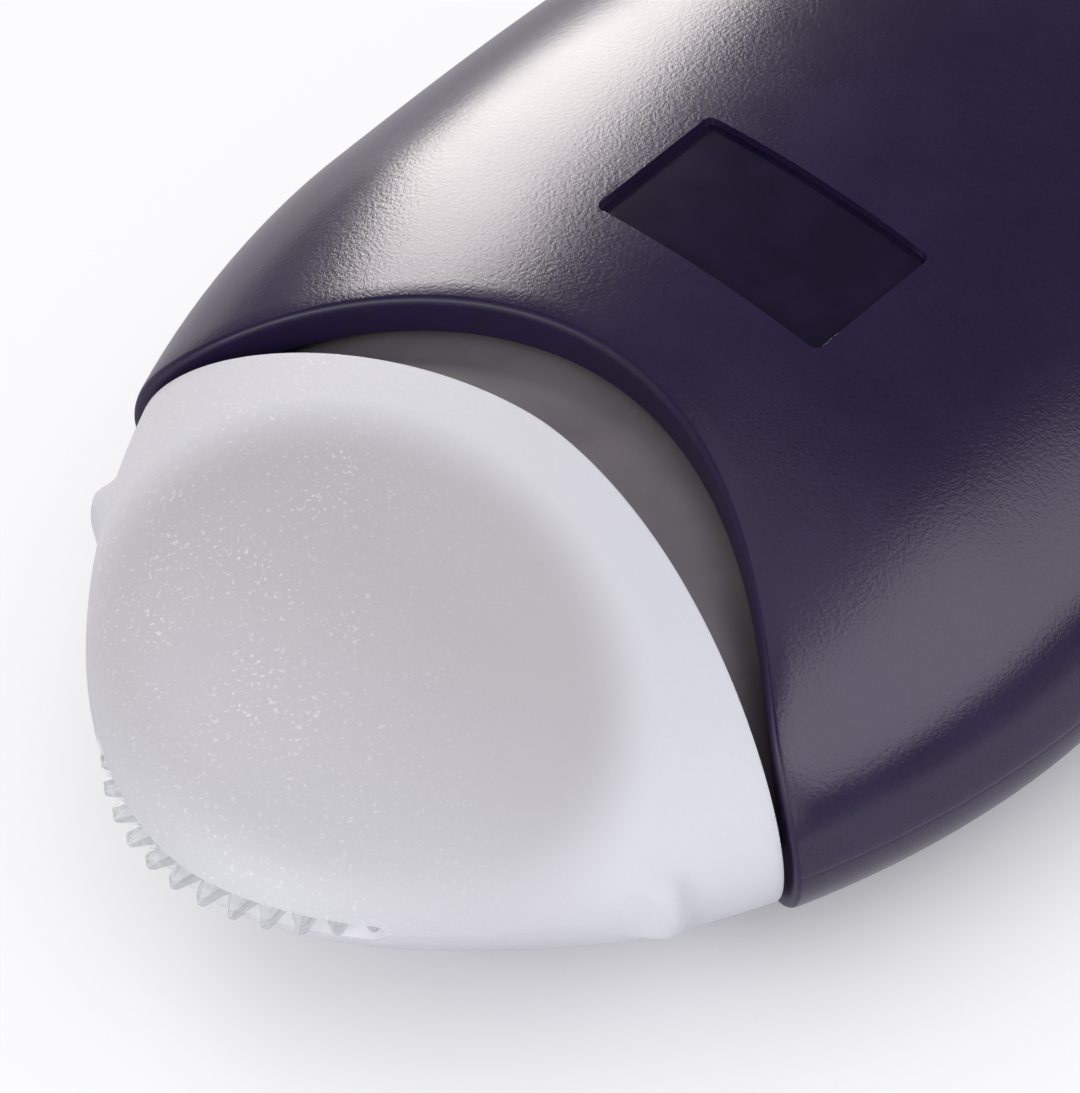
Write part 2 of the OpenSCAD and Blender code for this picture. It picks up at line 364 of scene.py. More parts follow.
def milkyPlastic():
    sh = newShader("milkyPlastic")
    f = milkyFinish
    grain = sh.noise(f["grain"], detail=3.0, roughness=0.6, distortion=0.5)
    coarse = sh.noise(f["grain"] * 2.2)
    clouds = sh.noise(f["clouds"], detail=1.0)
    x, y = (part * (1 / mm) for part in sh.axes()[:2])
    back = y - (tipPlace + dish["station"])
    # painted glints: bright specks in the base colour, standing in for the grain catching the lamp,
    # fading towards the back right
    lit = 1 - (x * 0.7 + back * 0.7).smooth(*f["glintFade"])
    across, along = x * (1 / dish["width"]), back * (1 / dish["length"])
    # painted shade: the base colour darkens inside the dish, most towards its back
    dishShade = (1 - (across * across + along * along)).smooth(*f["dishShadeEdge"]) * (
        0.5 + along.smooth(*f["dishShadeGain"]) * 0.5)
    drifts = 0.25 + sh.noise(f["drifts"]).smooth(*f["driftEdge"]) * 0.5
    glintNoise = sh.noise(f["glints"], detail=1.0, distortion=0.4)
    glints = glintNoise.smooth(*f["glintEdge"]) * drifts * lit
    plain = sh.blend(dishShade * (0.94 + clouds * 0.12), f["base"], f["rest"])
    height = grain.smooth(*f["grainEdge"]) * 0.6 + coarse * 0.4
    return sh.set(
        Base_Color=sh.blend(glints, plain, f["glintColour"]),
        Roughness=f["roughness"] + (clouds - 0.5) * f["roughnessSpread"] - glints * f["glintShine"],
        Normal=sh.bump(height, f["grainDepth"], f["grainStrength"]),
        IOR=f["refraction"],
    )


# The plainer finishes mix two tones by one noise, given by its width in mm, detail and roughness. mix
# narrows the change between the tones. roughness is the least value and what the noise adds to it.
# bump is a depth in mm and a strength, on the same noise or on a grain of its own width.

plainFinishes = {
    "violetSmooth": {      # rim, panel walls and everything inside, straight from a smooth mould
        "noise": (1.6, 2.0, 0.5), "mix": (0.35, 0.65),
        "tones": (colour(33, 20, 62), colour(33, 21, 55)),
        "roughness": (0.4, 0.06), "bump": (0.01, 0.4), "fixed": {"IOR": 1.5},
    },
    "violetPolished": {    # floor of the sunk panel
        "noise": (2.2, 2.0, 0.5), "mix": (0.35, 0.65),
        "tones": (colour(24, 16, 43), colour(30, 21, 50)),
        "roughness": (0.12, 0.05), "bump": (0.006, 0.5), "fixed": {"IOR": 1.5},
    },
    "milkyNeckShaded": {         # painted shade: the neck's grey stands in for the shade it lies in under the shell's rim
        "noise": (3.0, 3.0, 0.5), "mix": (0.3, 0.7),
        "tones": (colour(122, 116, 121), colour(131, 125, 130)),
        "roughness": (0.38, 0.08), "bump": (0.006, 0.6), "grain": 0.5, "fixed": {"IOR": 1.48},
    },
    "milkyHollow": {       # inside the wheel's slot: a painted glow stands in for light coming through the walls
        "noise": (2.0, 2.0, 0.5), "mix": (0.3, 0.7),
        "tones": (colour(206, 205, 210), colour(216, 215, 220)),
        "roughness": (0.5, 0.05), "glow": 0.42,
    },
    "clearPlastic": {      # moulded clear, a little cloudy, so that the thin teeth stay pale
        "noise": (0.8, 2.0, 0.5), "tones": ((0.86, 0.89, 0.88, 1), (0.93, 0.95, 0.95, 1)),
        "roughness": (0.06, 0.05), "bump": (0.02, 0.5),
        "fixed": {"IOR": 1.4, "Transmission_Weight": 0.8, "Alpha": 0.62},
    },
    "drawnSteel": {
        "noise": (0.4, 2.0, 0.5), "tones": ((0.52, 0.52, 0.54, 1), (0.62, 0.62, 0.64, 1)),
        "roughness": (0.28, 0.12), "fixed": {"Metallic": 1.0},
    },
    "softRubber": {
        "noise": (1.5, 3.0, 0.5), "tones": (colour(186, 188, 196), colour(198, 200, 206)),
        "roughness": (0.62, 0.08), "bump": (0.01, 0.7), "grain": 0.25, "fixed": {"IOR": 1.5},
    },
    "chalkPowder": {
        "noise": (0.5, 5.0, 0.7), "tones": (colour(232, 230, 224), colour(246, 245, 241)),
        "roughness": (0.95, 0.0), "bump": (0.15, 0.9),
    },
}


def plainFinish(name):
    sh = newShader(name)
    f = plainFinishes[name]
    clouds = sh.noise(*f["noise"])
    tone = sh.blend(clouds.smooth(*f["mix"]) if "mix" in f else clouds, *f["tones"])
    least, spread = f["roughness"]
    sh.set(Base_Color=tone, Roughness=least + clouds * spread if spread else least, **f.get("fixed", {}))
    if "bump" in f:
        sh.set(Normal=sh.bump(sh.noise(f["grain"]) if "grain" in f else clouds, *f["bump"]))
    # a painted glow, standing in for light that comes through thin walls
    if "glow" in f:
        sh.set(Emission_Color=tone, Emission_Strength=f["glow"])
    return sh.owner


shellFinishes = [violetPlastic(), plainFinish("violetSmooth"), plainFinish("violetPolished")]
cartridgeFinishes = [milkyPlastic(), plainFinish("milkyNeckShaded"), plainFinish("milkyHollow")]
clear, steel, rubber, chalk = (
    plainFinish(name) for name in ("clearPlastic", "drawnSteel", "softRubber", "chalkPowder"))
print("materials ready")


# The two body shells, and the cartridge's neck that their cross walls hold

shell = {
    "wall": 2.2,
    "columns": 132,
    "rows": 84,            # rim to tail
    "rimRadius": 0.38,     # rounding of the rim's outer edge
    "rimInnerRadius": 0.2,
    "roundingSteps": 4,
    "faceSteps": 3,
    "seamRadius": 0.09,    # rounding of the two shells' edges along the seam
    "formers": [31, 41, 50],   # stations of the cross walls that hold the neck
    "formerThickness": 1.2,
    "formerPlay": 0.12,
    "formerColumns": 48,
    "stopStation": 54.4,   # cross wall behind the neck's end, with a smaller window
    "stopWindow": (9.0, 5.2),
    "bossStation": 64.0, "bossOut": 8.0, "bossRadius": 2.5, "bossHeight": 6.8,
    "pegRadius": 1.25, "pegTaper": 0.2, "pegHeight": 2.5,
    "skinFrom": 0.25,      # how far behind the rim the grain begins
    "skinShare": 0.985,    # faces nearer to the middle than this are the shell's inside
    "sharpTurn": 0.8,      # least angle of an edge that is rounded, in radians
}

panel = {
    "station": 39.0, "width": 13.1, "length": 7.5, "depth": 0.45,
    "corner": 0.42, "cornerSteps": 6, "edge": 0.08,
    "margin": 1.6, "cornerMargin": 0.6,   # how far round the panel the skin is cut
    "snap": 0.09, "cornerSnap": 0.02,     # vertices this near to a cut are slid on to it
    "cornerReach": 0.4,    # how far along the straight edges a corner's cuts go on
    "skinDepth": 0.6,      # faces deeper than this are the shell's inside
    "sharpTurn": 0.7,
}

neck = {
    "front": 17.0, "end": 54.0,
    "width": 17.4, "height": 8.8,              # at the front
    "taperWidth": 0.03, "taperHeight": 0.05,   # what each mm towards the end takes off
}


def neckWidth(station):
    return neck["width"] - neck["taperWidth"] * (station - neck["front"])


def neckHeight(station):
    return neck["height"] - neck["taperHeight"] * (station - neck["front"])


def shellRows():
    # (inset, lead, share) for each row, from the tail over the rim and back inside: lead is the
    # distance behind the rim line, share the part of the way from there to the tail
    wall, outer, inner = shell["wall"], shell["rimRadius"], shell["rimInnerRadius"]
    count, steps, faceSteps = shell["rows"], shell["roundingSteps"], shell["faceSteps"]
    quarter = [math.pi / 2 * i / steps for i in range(steps + 1)]
    rows = [(0.0, outer, math.sin(math.pi / 2 * i / count)) for i in range(count, 0, -1)]
    rows += [(outer * (1 - math.cos(turn)), outer * (1 - math.sin(turn)), 0.0) for turn in quarter]
    rows += [(outer + (wall - outer - inner) * i / faceSteps, 0.0, 0.0) for i in range(1, faceSteps)]
    rows += [
        (wall - inner * (1 - math.cos(turn)), inner * (1 - math.sin(turn)), 0.0)
        for turn in reversed(quarter)
    ]
    half = count // 2   # the inside needs fewer rows
    rows += [(wall, inner, math.sin(math.pi / 2 * i / half)) for i in range(1, half + 1)]
    return rows


def levelled(height, top):
    # the lower shell's dome ends in a flat, whose edge is felt only near it
    lower = (height + top - math.hypot(height - top, egg["soleBlend"])) / 2
    return lower if height > top - 8 * egg["soleBlend"] else height


def shellBody(upper):
    bm = bmesh.new()
    rows = shellRows()
    starts = {}

    def place(column, row):
        inset, lead, share = rows[row]
        angle = math.pi * column / shell["columns"]
        key = (column, round(inset, 4))
        if key not in starts:
            starts[key] = meet(rimLine, inset, inset, angle)
        front = starts[key] + lead
        p = eggPoint(front + (eggLength - inset - front) * share, angle, inset, inset)
        if not upper:
            p.z = levelled(p.z, partingHeight - inset)
        return p

    mappedGrid(bm, shell["columns"], len(rows) - 1, place)
    seam = [e for e in bm.edges if e.is_boundary]
    bmesh.ops.contextual_create(bm, geom=seam)
    bmesh.ops.recalc_face_normals(bm, faces=bm.faces)
    for face in bm.faces:
        # the skin's faces have four corners at most, the one along the seam has many
        c = face.calc_center_median()
        tall, wide = (max(size(c.y, 0, 0), 0.01) for size in (eggHeight, eggWidth))
        onSkin = (c.z / tall) ** 2 + (c.x / wide) ** 2 > shell["skinShare"] and len(face.verts) < 5
        face.material_index = 0 if onSkin and c.y - rimLine(c.x) > shell["skinFrom"] else 1
    outerSeam = [
        e for e in bm.edges
        if max(abs(v.co.z) for v in e.verts) < 1e-4 and e.calc_face_angle(0) > shell["sharpTurn"]
        and all(abs(v.co.x) > eggWidth(v.co.y, 0, 0) - 0.05 for v in e.verts)
    ]
    softenEdges(bm, outerSeam, shell["seamRadius"])
    return bm


def crossWall(bm, station, width, height):
    # a plate across the shell, with an arched window
    deep = shell["wall"] / 2
    back = station + shell["formerThickness"]
    footWidth = min(eggWidth(station, deep, deep), eggWidth(back, deep, deep))
    footHeight = min(eggHeight(station, deep, deep), eggHeight(back, deep, deep))

    def place(column, row):
        angle = math.pi * column / shell["formerColumns"]
        share = row / 2
        return Vector((
            (width + (footWidth - width) * share) * math.cos(angle), station,
            (height + (footHeight - height) * share) * math.sin(angle),
        ))

    part = bmesh.new()
    mappedGrid(part, shell["formerColumns"], 2, place)
    sheet = bmesh.ops.extrude_face_region(part, geom=part.faces[:])
    moved = [g for g in sheet["geom"] if isinstance(g, bmesh.types.BMVert)]
    bmesh.ops.translate(part, vec=(0, shell["formerThickness"], 0), verts=moved)
    bmesh.ops.recalc_face_normals(part, faces=part.faces)
    for face in part.faces:
        face.material_index = 1
    absorb(bm, part)


def skinHeight(x, station, inset):
    # height of the egg's surface over a point of the parting plane, 0 outside it
    across = x / eggWidth(station, inset, inset)
    return eggHeight(station, inset, inset) * math.sqrt(max(0, 1 - across ** 2))


def cutSkin(bm, point, normal, near, snap):
    # vertices that lie nearly on the plane are slid on to it first, so that no slivers are left
    edges = {e for f in near for e in f.edges}
    corners = {v for f in near for v in f.verts}
    for v in corners:
        off = (v.co - Vector(point)).dot(Vector(normal))
        if abs(off) < snap:
            v.co -= Vector(normal) * off
            v.co.z = skinHeight(v.co.x, v.co.y, 0)
    bmesh.ops.bisect_plane(
        bm, geom=[*near, *edges, *corners], dist=0.004, plane_co=point, plane_no=normal,
    )


def sinkPanel(bm):
    # a rectangle of the skin is cut out along its edges and rounded corners, and pushed in
    middle, halfWidth, halfLength = panel["station"], panel["width"] / 2, panel["length"] / 2
    radius, depth = panel["corner"], panel["depth"]

    def inside(face, spare=0.01):
        c = face.calc_center_median()
        right, back = abs(c.x) - halfWidth + radius, abs(c.y - middle) - halfLength + radius
        away = math.hypot(max(right, 0), max(back, 0)) + min(max(right, back), 0) - radius
        return away < spare and c.z > skinHeight(c.x, c.y, panel["skinDepth"])

    for point, normal in (
        ((halfWidth, 0, 0), (1, 0, 0)), ((-halfWidth, 0, 0), (1, 0, 0)),
        ((0, middle - halfLength, 0), (0, 1, 0)), ((0, middle + halfLength, 0), (0, 1, 0)),
    ):
        near = [f for f in bm.faces if inside(f, panel["margin"])]
        cutSkin(bm, point, normal, near, panel["snap"])
    for side, end in ((-1, -1), (-1, 1), (1, -1), (1, 1)):
        centre = Vector((side * (halfWidth - radius), middle + end * (halfLength - radius), 0))
        for turn in range(1, panel["cornerSteps"]):
            angle = math.pi / 2 * turn / panel["cornerSteps"]
            away = Vector((side * math.cos(angle), end * math.sin(angle), 0))
            near = []
            for f in bm.faces:
                if inside(f, panel["cornerMargin"]):
                    offset = f.calc_center_median() - centre
                    if min(offset.x * side, offset.y * end) > -panel["cornerReach"]:
                        near.append(f)
            cutSkin(bm, centre + away * radius, away, near, panel["cornerSnap"])
    floor = [f for f in bm.faces if inside(f)]
    made = bmesh.ops.extrude_face_region(bm, geom=floor)["geom"]
    bmesh.ops.delete(bm, geom=[f for f in floor if f.is_valid], context="FACES")
    for v in made:
        if isinstance(v, bmesh.types.BMVert):
            wide = eggWidth(v.co.y, depth, 0)
            v.co.z = eggHeight(v.co.y, depth, 0) * math.sqrt(1 - (v.co.x / wide) ** 2)
    bottom = [f for f in made if isinstance(f, bmesh.types.BMFace)]
    for face in bottom:
        face.material_index = 2
    around = {f for face in bottom for e in face.edges for f in e.link_faces}
    for face in around.difference(bottom):
        face.material_index = 1
    rims = [
        e for e in bm.edges
        if len(e.link_faces) == 2 and e.calc_face_angle(0) > panel["sharpTurn"]
        and abs(e.verts[0].co.x) < halfWidth + 0.1 and abs(e.verts[0].co.y - middle) < halfLength + 0.1
        and e.verts[0].co.z > eggHeight(e.verts[0].co.y, 1, 1) * 0.8
        and {f.material_index for f in e.link_faces} in ({0, 1}, {1, 2})
    ]
    softenEdges(bm, rims, panel["edge"], 3, 2)


def post(bm, side, lowRadius, highRadius, start, height):
    middle = (side * shell["bossOut"], shell["bossStation"], start + height / 2)
    bmesh.ops.create_cone(
        bm, cap_ends=True, segments=32, radius1=lowRadius, radius2=highRadius, depth=height,
        matrix=Matrix.Translation(middle),
    )


def shellPiece(name, node, upper):
    bm = shellBody(upper)
    if upper:
        sinkPanel(bm)
    play = shell["formerPlay"]
    for station in shell["formers"]:
        crossWall(bm, station, neckWidth(station) + play, neckHeight(station) + play)
    crossWall(bm, shell["stopStation"], *shell["stopWindow"])
    for side in (-1, 1):
        posts = bmesh.new()
        post(posts, side, shell["bossRadius"], shell["bossRadius"], 0, shell["bossHeight"])
        if upper:
            radius, height = shell["pegRadius"], shell["pegHeight"]
            post(posts, side, radius - shell["pegTaper"], radius, -height, height)
        for face in posts.faces:
            face.material_index = 1
        absorb(bm, posts)
    finishPiece(name, bm, "body", [node], shellFinishes, turnOver=not upper)


shellPiece("shellTop", "body_shell_upper", True)
shellPiece("shellBottom", "body_shell_lower", False)


# The two cartridge halves

cap = {
    "setBack": 1.7,        # of the cartridge's tip behind the egg's
    "inset": 0.35,         # of the nose inside the egg's surface
    "columns": 128,
    "rows": 104,           # tip to the back edge of the finger rest
    "neckRows": 26,
    "roundingSteps": 4, "footSteps": 3,
    "shoulderDraft": 0.2,
    "edgeRadius": 0.12,
    "footRadius": 0.3,
    "roundingShare": 0.4,  # of the shoulder's height, which neither radius goes beyond
    "ridgeStation": 13.9, "ridgeRadius": 1.0, "ridgeProud": 0.75, "ridgeHeight": 2.2,
    "ridgeFrom": 8,        # width beyond which the skin can have a ridge
    "ridgeBlend": (0.1, 1.35),     # where a ridge's flank begins and ends, in radii from its middle
    "ridgeSplay": (0.97, -0.24),   # the ridges' way out of the skin, to the side and forward
    "slot": 0.45,          # half height of the wheel's slot
    "slotEdge": 0.12,
    "slotFade": 0.1,       # how softly the slot's roof comes down at its ends
    "bayStation": 11.3, "bayRadius": 10.75,
    "under": 6,            # columns of the flat side, from the skin's edge to the middle
    "heel": 0.4,           # rounding of the neck's inner end
    "heelHeight": 9.0,     # height at which that rounding is full
    "offNeck": 1.004,      # times the neck's size, beyond which a face is off its surface
}


def smoothStep(low, high, value):
    t = min(max((value - low) / (high - low), 0.0), 1.0)
    return t * t * (3 - 2 * t)


def dishDepth(x, station):
    reach = (x / dish["width"]) ** 2 + ((station - dish["station"]) / dish["length"]) ** 2
    return 0.0 if reach >= 1 else dish["depth"] * (1 - reach) ** dish["wall"]


def ridgeBulge(station, height):
    # an upright rounded bar with a dome at its top, melted into the side of the nose
    r = cap["ridgeRadius"]
    across = (station - cap["ridgeStation"]) / r
    up = max(0.0, (height - (cap["ridgeHeight"] - r)) / r)
    away = math.hypot(across, up)
    return cap["ridgeProud"] * (1 - smoothStep(*cap["ridgeBlend"], away))


def nosePoint(station, angle):
    p = eggPoint(station, angle, cap["inset"], cap["setBack"])
    bulge = ridgeBulge(p.y, p.z) if abs(p.x) > cap["ridgeFrom"] else 0
    p.z = max(p.z - dishDepth(p.x, p.y), 0)
    out = 1 if p.x > 0 else -1
    return p + Vector((cap["ridgeSplay"][0] * out * bulge, cap["ridgeSplay"][1] * bulge, 0))


def neckPoint(station, angle):
    wide, tall = neckWidth(station), neckHeight(station)
    return Vector((wide * math.cos(angle), station, tall * math.sin(angle)))


def bend(first, corner, last, share):
    # a rounded corner from first to last
    return first.lerp(corner, share).lerp(corner.lerp(last, share), share)


def bayWidth(station):
    # half width of the round wheel bay at a station
    return math.sqrt(max(0, cap["bayRadius"] ** 2 - (station - cap["bayStation"]) ** 2))


def capRows():
    # (kind, share) for each row, from the tip over the finger rest and along the neck to its end
    def shares(count, first=1):
        return [i / count for i in range(first, count + 1)]

    rows = [("nose", 1 - math.cos(math.pi / 2 * share)) for share in shares(cap["rows"], 0)]
    rows += [("edge", share) for share in shares(cap["roundingSteps"])]
    rows += [("wall", 0.5)]
    rows += [("foot", share) for share in shares(cap["footSteps"], 0)]
    rows += [("neck", share) for share in shares(cap["neckRows"])]
    rows += [("heel", share) for share in shares(cap["roundingSteps"])]
    return rows + [("end", 0.5), ("end", 1.0)]


def capPoint(angle, kind, share, shoulder):
    # shoulder is the station of the finger rest's back edge at this angle
    edge = nosePoint(shoulder, angle)
    root = neckPoint(shoulder + cap["shoulderDraft"], angle)
    drop = (root - edge).length
    most = drop * cap["roundingShare"]
    radius, foot = min(cap["edgeRadius"], most), min(cap["footRadius"], most)
    noseEnd = shoulder - radius
    heelStart = neck["end"] - cap["heel"]
    if kind == "nose":
        return nosePoint(cap["setBack"] + (noseEnd - cap["setBack"]) * share, angle)
    if kind == "edge":
        return bend(nosePoint(noseEnd, angle), edge, edge.lerp(root, radius / drop), share)
    if kind == "wall":
        return edge.lerp(root, 0.5)
    if kind == "foot":
        return bend(root.lerp(edge, foot / drop), root, neckPoint(root.y + foot, angle), share)
    if kind == "neck":
        start = root.y + foot
        return neckPoint(start + (heelStart - start) * share, angle)
    corner = neckPoint(neck["end"], angle)
    shrink = 1 - cap["heel"] / cap["heelHeight"]
    inner = Vector((corner.x * shrink, neck["end"], corner.z * shrink))
    if kind == "heel":
        return bend(neckPoint(heelStart, angle), corner, inner, share)
    return Vector((inner.x * (1 - share), neck["end"], inner.z * (1 - share)))


def capHalf():
    bm = bmesh.new()
    rows = capRows()
    columns, under = cap["columns"], cap["under"]
    shoulders = {}

    def lowest(station, kind):
        # height of the skin's lower edge: the slot's roof in front, the parting plane behind
        if kind != "nose":
            return 0.0
        wide = eggWidth(station, cap["inset"], cap["setBack"])
        return cap["slot"] * smoothStep(-cap["slotFade"], cap["slotFade"], bayWidth(station) - wide)

    def skin(step, kind, share):
        # step 0 to columns over the top; the lowest ones are lifted to the slot's roof
        angle = math.pi * step / columns
        if step not in shoulders:
            shoulders[step] = meet(restLine, cap["inset"], cap["setBack"], angle)
        p = capPoint(angle, kind, share, shoulders[step])
        rise = lowest(p.y, kind)
        if rise:
            tall = max(eggHeight(p.y, cap["inset"], cap["setBack"]), rise)
            least = math.asin(min(1.0, rise / tall))
            angle = least + (math.pi - 2 * least) * step / columns
            p = capPoint(angle, kind, share, shoulders[step])
            p.z = max(p.z, rise)
        return p

    def place(column, row):
        kind, share = rows[row]
        step = column - under
        if 0 <= step <= columns:
            return skin(step, kind, share)
        # the flat side: a narrow land along the skin's edge, then up to the bay's roof and over it
        edge = skin(0 if step < 0 else columns, kind, share)
        sign, inward = (1, -step) if step < 0 else (-1, step - columns)
        wide = abs(edge.x)
        land = wide - min(cap["slotEdge"], wide)
        bay = min(bayWidth(edge.y), land)
        top = max(edge.z, cap["slot"] if min(bayWidth(edge.y), wide) > 0 else 0)
        outward = (land, (bay + land) / 2, bay, bay, bay / 2, 0)[inward - 1]
        return Vector((sign * outward, edge.y, edge.z if inward < 4 else top))

    mappedGrid(bm, columns + 2 * under, len(rows) - 1, place)
    bmesh.ops.recalc_face_normals(bm, faces=bm.faces)
    print("cartridge half: open edges", len([e for e in bm.edges if e.is_boundary]))
    for face in bm.faces:
        c = face.calc_center_median()
        offNeck = math.hypot(c.x / neckWidth(c.y), c.z / neckHeight(c.y)) > cap["offNeck"]
        upright = offNeck and abs(face.normal.y) > 0.4 and c.z > 0.01   # the finger rest's back
        onNose = c.y < restLine(c.x) + 0.05 or upright
        inHollow = onNose and c.z < cap["slot"] + 0.02 and abs(face.normal.z) > 0.9
        face.material_index = 2 if inHollow else 0 if onNose else 1
    return bm


def capPiece(name, node, upper):
    bm = capHalf()
    finishPiece(name, bm, "cartridge", [node], cartridgeFinishes, turnOver=not upper)


capPiece("cartridgeTop", "cartridge_upper", True)
capPiece("cartridgeBottom", "cartridge_lower", False)


# The toothed wheel

wheel = {
    "radius": 10.3, "station": 11.3, "teeth": 41, "toothHeight": 1.15,
    "thickness": 0.7, "hubRadius": 3.0, "hubHeight": 2.6, "boreRadius": 1.05,
    "stepsPerTooth": 16, "edge": 0.07, "sharpTurn": 1.2,
    "toothForm": (0.12, 0.95),   # where a tooth's flank begins and ends, from tip 0 to valley 1
}


def toothReach(angle):
    # radius of the outline: round tips and wider round valleys
    turn = angle * wheel["teeth"] / math.tau
    away = abs(turn - round(turn)) * 2
    return wheel["radius"] - wheel["toothHeight"] * smoothStep(*wheel["toothForm"], away)


def raiseFaces(bm, faces, height):
    # extrudes the faces and moves the new ones up
    made = bmesh.ops.extrude_face_region(bm, geom=faces)["geom"]
    moved = [g for g in made if isinstance(g, bmesh.types.BMVert)]
    bmesh.ops.translate(bm, vec=(0, 0, height), verts=moved)


def chalkWheel():
    bm = bmesh.new()
    count = wheel["teeth"] * wheel["stepsPerTooth"]
    rings = [
        bmesh.ops.create_circle(bm, cap_ends=False, segments=count, radius=wheel[key])["verts"]
        for key in ("radius", "hubRadius", "boreRadius")
    ]
    for v in rings[0]:
        flat = Vector((v.co.x, v.co.y))
        v.co.x, v.co.y = flat.normalized() * toothReach(math.atan2(flat.x, -flat.y))
    rings = [set(ring) for ring in rings]
    outline, hub, bore = ([e for e in bm.edges if set(e.verts) <= ring] for ring in rings)
    web = bmesh.ops.bridge_loops(bm, edges=outline + hub)["faces"]
    middle = bmesh.ops.bridge_loops(bm, edges=hub + bore)["faces"]
    bmesh.ops.recalc_face_normals(bm, faces=bm.faces)
    bmesh.ops.translate(bm, vec=(0, 0, -wheel["thickness"] / 2), verts=bm.verts)
    raiseFaces(bm, web + middle, wheel["thickness"])
    for sign in (-1, 1):
        near = [
            f for f in bm.faces
            if abs(f.normal.z) > 0.9 and f.calc_center_median().z * sign > 0
            and f.calc_center_median().length < wheel["hubRadius"]
        ]
        raiseFaces(bm, near, sign * (wheel["hubHeight"] - wheel["thickness"]) / 2)
        bmesh.ops.delete(bm, geom=[f for f in near if f.is_valid], context="FACES")
    bmesh.ops.recalc_face_normals(bm, faces=bm.faces)
    outer = [
        e for e in bm.edges
        if len(e.link_faces) == 2 and e.calc_face_angle(0) > wheel["sharpTurn"]
        and min(v.co.xy.length for v in e.verts) > wheel["hubRadius"] + 1
    ]
    softenEdges(bm, outer, wheel["edge"])
    bmesh.ops.translate(bm, vec=(0, wheel["station"], 0), verts=bm.verts)
    finishPiece("toothedWheel", bm, "wheel", ["chalk_wheel"], [clear])


chalkWheel()


# The filler plug, then the pin and the powder, whose solids only need a finish

plug = {
    "radius": 2.55, "tail": 2.6, "headRadius": 3.7, "head": 1.6, "edge": 0.3, "chamfer": 0.12,
    "rim": 1.1, "slope": 0.5, "dimple": 0.35,   # where the dimple begins, its side's width, its depth
}


def fillerPlug():
    r, head, top, edge = plug["radius"], plug["headRadius"], plug["head"], plug["edge"]
    tail, chamfer = plug["tail"], plug["chamfer"]
    ring, low = head - plug["rim"], top - plug["dimple"]
    profile = [
        (0, -tail), (r - edge, -tail), (r, -tail + edge), (r, 0),
        (head - chamfer, 0), (head, chamfer),
        (head, top - edge), (head - edge * 0.3, top - edge * 0.3), (head - edge, top),
        (ring, top), (ring - plug["slope"], low), (0, low),
    ]
    bm = turned(profile)
    lying = Matrix.Rotation(-math.pi / 2, 3, "X")
    bmesh.ops.rotate(bm, cent=(0, 0, 0), matrix=lying, verts=bm.verts)
    bmesh.ops.translate(bm, vec=(0, neck["end"], 0), verts=bm.verts)
    finishPiece("fillerPlug", bm, "plug", ["filler_plug"], [rubber], 50)


fillerPlug()
for node, material in (("wheel_axle", steel), ("chalk_fill", chalk)):
    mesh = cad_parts[node].data
    if not mesh.materials:
        mesh.materials.append(material)
    for index in range(len(mesh.materials)):
        mesh.materials[index] = material
print("object ready")


# Floor, world and lamps in metres, and the camera in millimetres

studio = {
    "floorSize": 3.0,
    "floorColour": colour(240, 240, 244),
    "floorRoughness": 0.8,
    "white": (0.985, 0.985, 1.0, 1),   # of the open floor, as the camera sees it
    "floorLift": 0.96,     # share of that white on the open floor
    "shadowReach": 0.018,  # how far out from the object that share is less
    "shadowSamples": 16,
    "shadowEdge": (0.03, 0.94),   # openness of the floor at which the share begins and is full
    "air": (0.97, 0.975, 1.0, 1),
    "ambient": 0.1,        # the world's brightness as a light
    "horizon": 1.0,        # and as the camera sees it
    "mirrored": (0.3, 0.03),      # how near reflections come to that, at the horizon and above
    "mirroredRise": (0.02, 0.3),  # heights between which that falls
    "aim": (0, -0.012, 0.010),    # of every lamp
    "lamps": [
        # name, heading from +Y towards +X, elevation, distance, width, height, lean, watts, colour
        ("backSoftbox", -60, 21, 0.42, 0.115, 0.28, -19, 0.9, (1.0, 0.95, 0.93)),
        ("rightSoftbox", 70, 44, 0.45, 0.40, 0.36, 0, 0.88, (0.95, 0.93, 1.0)),
        ("sideFill", 122, 30, 0.50, 0.36, 0.36, 0, 0.32, (0.97, 0.98, 1.0)),
        ("frontFill", 180, 30, 0.60, 0.40, 0.30, 0, 1.55, (1.0, 1.0, 0.98)),
        ("topFill", 0, 86, 0.60, 0.40, 0.40, 0, 0.22, (0.9, 0.9, 1.0)),
    ],
}

view = {
    "azimuth": 45.477, "elevation": 48.758, "roll": -3.186,
    "distance": 396.5,
    "target": (-1.241, -14.036),   # on the parting plane
    "lens": 295.76, "sensor": 36,
    "clip": (0.01, 20),
}


def direction(heading, elevation):
    h, e = math.radians(heading), math.radians(elevation)
    return Vector((math.sin(h) * math.cos(e), math.cos(h) * math.cos(e), math.sin(e)))


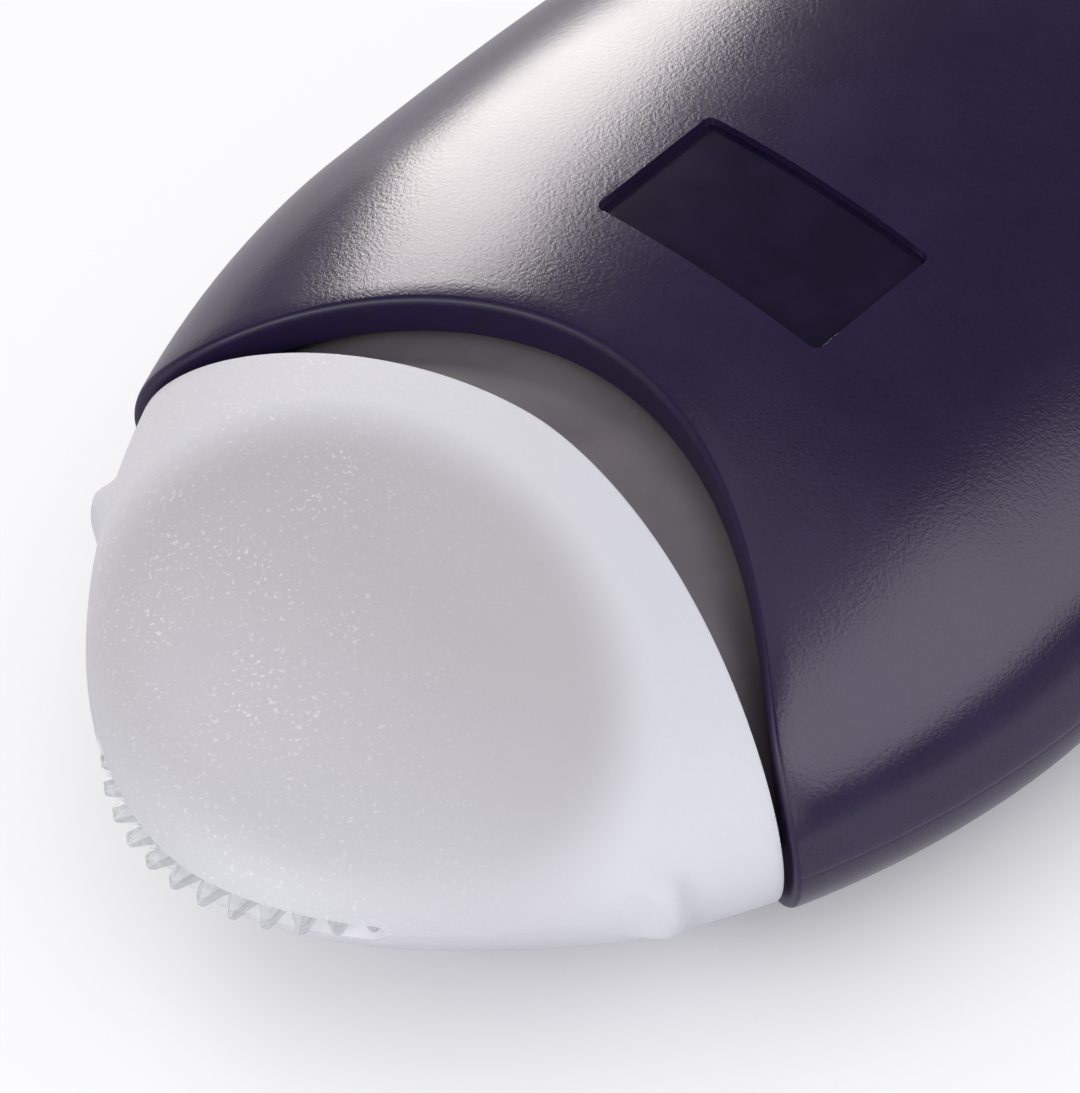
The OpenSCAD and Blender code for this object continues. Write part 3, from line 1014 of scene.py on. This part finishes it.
def makeFloor():
    bm = bmesh.new()
    bmesh.ops.create_grid(bm, x_segments=8, y_segments=8, size=studio["floorSize"] / 2)
    bmesh.ops.translate(bm, vec=(0, 0, cadBox[0][2]), verts=bm.verts)
    mesh = bpy.data.meshes.new("floor")
    bm.to_mesh(mesh)
    bm.free()
    sh = newShader("paleFloor")
    sh.set(Base_Color=studio["floorColour"], Roughness=studio["floorRoughness"])
    white = sh.node("ShaderNodeEmission", {}, {"Color": studio["white"], "Strength": 1.0})
    # near the object the white fades by occlusion: a painted shade around it, added to the lamps' cast
    # shadow
    openness = sh.node(
        "ShaderNodeAmbientOcclusion", {"samples": studio["shadowSamples"]},
        {"Distance": studio["shadowReach"]}, "AO",
    )
    share = openness.smooth(*studio["shadowEdge"]) * studio["floorLift"]
    mixed = sh.node(
        "ShaderNodeMixShader", {},
        {0: sh.rays("Camera").math("MAXIMUM", sh.rays("Transmission")) * share,
         1: Value(sh, sh.surface.outputs[0]), 2: white},
    )
    sh.feed(sh.tree.nodes["Material Output"].inputs["Surface"], mixed)
    mesh.materials.append(sh.owner)
    floor = bpy.data.objects.new("floor", mesh)
    bpy.context.scene.collection.objects.link(floor)


def makeWorld():
    world = bpy.data.worlds.new("studio")
    bpy.context.scene.world = world
    sh = Shader(world, "Background")
    low, high = studio["mirrored"]
    mirrored = low + sh.axes("Generated")[2].smooth(*studio["mirroredRise"]) * (high - low)
    seen = sh.rays("Camera") + sh.rays("Glossy") * mirrored + sh.rays("Transmission")
    strength = sh.node(
        "ShaderNodeMapRange", {},
        {"Value": seen, "To Min": studio["ambient"], "To Max": studio["horizon"]},
    )
    sh.set(Color=studio["air"], Strength=strength)


def makeLamps():
    aim = Vector(studio["aim"])
    for name, heading, elevation, distance, width, height, lean, watts, tint in studio["lamps"]:
        data = bpy.data.lights.new(name, "AREA")
        data.shape = "RECTANGLE"
        data.size, data.size_y = width, height
        data.energy = watts
        data.color = tint
        lamp = bpy.data.objects.new(name, data)
        lamp.location = aim + direction(heading, elevation) * distance
        facing = (aim - lamp.location).to_track_quat("-Z", "Y")
        turn = Quaternion((0, 0, 1), math.radians(lean))
        lamp.rotation_euler = (facing @ turn).to_euler()
        bpy.context.scene.collection.objects.link(lamp)


def makeCamera():
    a, e, roll = (math.radians(view[key]) for key in ("azimuth", "elevation", "roll"))
    back = Vector((math.sin(a) * math.cos(e), -math.cos(a) * math.cos(e), math.sin(e)))
    right = Vector((math.cos(a), math.sin(a), 0))
    up = back.cross(right)
    rightTurned = right * math.cos(roll) + up * math.sin(roll)
    upTurned = up * math.cos(roll) - right * math.sin(roll)
    data = bpy.data.cameras.new("camera")
    data.lens, data.sensor_width = view["lens"], view["sensor"]
    data.clip_start, data.clip_end = view["clip"]
    camera = bpy.data.objects.new("camera", data)
    place = Matrix((rightTurned, upTurned, back)).transposed().to_4x4()
    place.translation = (Vector((*view["target"], partingHeight)) + back * view["distance"]) * mm
    camera.matrix_world = place
    bpy.context.scene.collection.objects.link(camera)
    bpy.context.scene.camera = camera


makeFloor()
makeWorld()
makeLamps()
makeCamera()
bpy.context.scene.view_settings.view_transform = "Standard"
print("studio ready")
